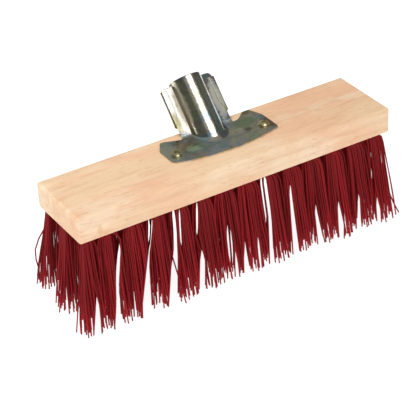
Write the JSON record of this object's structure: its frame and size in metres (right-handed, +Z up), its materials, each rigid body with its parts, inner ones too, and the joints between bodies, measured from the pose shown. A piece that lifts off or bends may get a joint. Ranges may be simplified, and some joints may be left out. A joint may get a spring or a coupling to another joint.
{
  "type": "push broom head",
  "caption": "Rectangular wooden push broom head with staggered rows of stiff bristle tufts and a leaning pressed-steel socket that takes a round handle.",
  "frame": {"origin": "on the floor under the middle of the block, where the bristle tips stand", "axes": "+X along the block's length, +Y towards the back edge, the way the handle leans, +Z up from the bristle tips through the block"},
  "size_m": [0.3342, 0.1224, 0.1602],
  "materials": {
    "beech": "planed and lightly sanded, raw",
    "bristle": "extruded round monofilament, wine red",
    "anchor_wire": "cut flat wire",
    "zinc_plate": "yellow-passivated zinc plating, mirror-like and slightly iridescent",
    "screw_zinc": "yellow-passivated zinc plating"
  },
  "bodies": {
    "root": {"wood_block": "beech", "tufts_column_01": "bristle", "tufts_column_02": "bristle", "tufts_column_03": "bristle", "tufts_column_04": "bristle", "tufts_column_05": "bristle", "tufts_column_06": "bristle", "tufts_column_07": "bristle", "tufts_column_08": "bristle", "tufts_column_09": "bristle", "tufts_column_10": "bristle", "tufts_column_11": "bristle", "tufts_column_12": "bristle", "tufts_column_13": "bristle", "tufts_column_14": "bristle", "tufts_column_15": "bristle", "tufts_column_16": "bristle", "tufts_column_17": "bristle", "tufts_column_18": "bristle", "tufts_column_19": "bristle", "tufts_column_20": "bristle", "tufts_column_21": "bristle", "tufts_column_22": "bristle", "tufts_column_23": "bristle", "tufts_column_24": "bristle", "tufts_column_25": "bristle", "tufts_column_26": "bristle", "tufts_column_27": "bristle", "tufts_column_28": "bristle", "tuft_anchors": "anchor_wire", "socket_front_pressing": "zinc_plate", "socket_rear_shell": "zinc_plate", "screw_left": "screw_zinc", "screw_right": "screw_zinc"}
  },
  "joints": []
}
